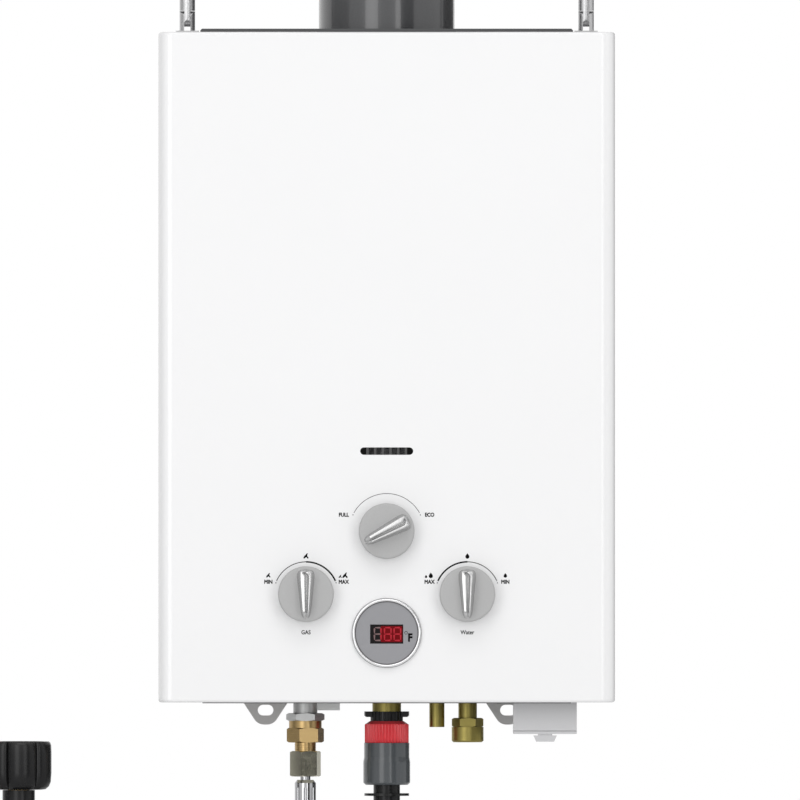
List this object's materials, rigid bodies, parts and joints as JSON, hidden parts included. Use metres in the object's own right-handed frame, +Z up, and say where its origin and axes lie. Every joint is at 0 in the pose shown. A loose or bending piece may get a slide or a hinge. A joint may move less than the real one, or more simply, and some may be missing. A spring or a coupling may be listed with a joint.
{
  "type": "portable propane water heater",
  "caption": "Wall-hung portable propane water heater with flue and rain cap, folding handle, dial knobs, display, battery box, pipe fittings and coiled gas hose.",
  "frame": {"origin": "midway between the slots of the two lower fixing lugs, on the wall plane", "axes": "+Z up, +X to the right seen from the front, +Y from the front of the case to the wall"},
  "size_m": [0.4135, 0.1528, 0.8831],
  "materials": {
    "white_enamel": "gloss",
    "zinc_sheet": "satin",
    "dark_enamel": "gloss",
    "stainless": "polished",
    "grey_plastic": "satin",
    "light_plastic": "satin",
    "black_plastic": "satin",
    "red_plastic": "satin",
    "slate_plastic": "satin",
    "lens": "gloss",
    "chromed": "polished",
    "brass": "satin",
    "dull_brass": "satin",
    "steel": "satin",
    "copper": "satin",
    "zinc_cast": "satin",
    "hose_rubber": "matte",
    "cell_wrap": "satin"
  },
  "bodies": {
    "case": {"back_plate": "zinc_sheet", "front_cover": "white_enamel", "top_panel": "dark_enamel", "bottom_panel": "zinc_sheet", "flue_plate": "dark_enamel", "flue": "dark_enamel", "rain_cap": "dark_enamel", "cap_straps": "dark_enamel", "hinge_fork_left": "stainless", "hinge_fork_right": "stainless", "hinge_pin_left": "stainless", "hinge_pin_right": "stainless", "window_insert": "black_plastic", "display_bezel": "chromed", "display_disc": "grey_plastic", "display_lens": "lens", "battery_box": "light_plastic", "lid_hinge_pin": "steel", "battery_cell_front": "cell_wrap", "battery_cell_rear": "cell_wrap", "gas_inlet_pipe": "steel", "gas_inlet_collar": "steel", "gas_adaptor": "brass", "hose_ferrule": "chromed", "outlet_stub": "dull_brass", "tap_adaptor": "black_plastic", "connector_tail": "black_plastic", "drain_stub": "dull_brass", "water_inlet_pipe": "brass", "water_inlet_union": "dull_brass", "burner_frame": "steel", "burner_bars": "steel", "exchanger_shell": "copper", "exchanger_fins": "copper", "exchanger_pipe": "copper", "draft_hood": "zinc_sheet", "support_rail_left": "zinc_sheet", "support_rail_right": "zinc_sheet", "gas_valve": "zinc_cast", "water_valve": "brass", "gas_manifold": "zinc_cast", "gas_hose_upper": "hose_rubber", "gas_hose_coil": "hose_rubber", "gas_hose_lower": "hose_rubber", "coil_tie": "black_plastic", "regulator_body": "zinc_cast", "regulator_cap": "black_plastic", "tank_nipple": "brass"},
    "handle": {"handle": "stainless"},
    "gas_dial": {"gas_knob": "grey_plastic", "gas_shaft": "steel"},
    "water_dial": {"water_knob": "grey_plastic", "water_shaft": "steel"},
    "season_dial": {"season_knob": "grey_plastic", "season_shaft": "steel"},
    "battery_door": {"battery_lid": "light_plastic"},
    "release_sleeve": {"quick_collar": "red_plastic", "quick_sleeve": "slate_plastic"},
    "hose_swivel": {"hose_nut": "chromed"},
    "tank_swivel": {"tank_nut": "black_plastic"}
  },
  "joints": [
    {"name": "handle_fold", "type": "hinge", "parent": "case", "child": "handle", "pos_m": [0, -0.065, 0.4481], "axis": [-1, 0, 0], "range_deg": [-90, 90]},
    {"name": "gas_turn", "type": "hinge", "parent": "case", "child": "gas_dial", "pos_m": [-0.0521, -0.13, 0.0761], "axis": [0, 1, 0], "range_deg": [-68, 68]},
    {"name": "water_turn", "type": "hinge", "parent": "case", "child": "water_dial", "pos_m": [0.0521, -0.13, 0.0761], "axis": [0, 1, 0], "range_deg": [-68, 68]},
    {"name": "season_turn", "type": "hinge", "parent": "case", "child": "season_dial", "pos_m": [0, -0.13, 0.1168], "axis": [0, 1, 0], "range_deg": [-126, 0]},
    {"name": "battery_door_open", "type": "hinge", "parent": "case", "child": "battery_door", "pos_m": [0.1024, -0.0253, -0.0124], "axis": [1, 0, 0], "range_deg": [0, 100]},
    {"name": "sleeve_release", "type": "slide", "parent": "case", "child": "release_sleeve", "axis": [0, 0, -1], "range_m": [0, 0.005], "stiffness_N_per_m": 400, "springref_m": -0.005},
    {"name": "hose_nut_turn", "type": "hinge", "parent": "case", "child": "hose_swivel", "pos_m": [-0.0527, -0.06, -0.03415], "axis": [0, 0, 1], "continuous": true},
    {"name": "tank_nut_turn", "type": "hinge", "parent": "case", "child": "tank_swivel", "pos_m": [-0.238, -0.09225, -0.0344], "axis": [0, 0, 1], "continuous": true}
  ]
}
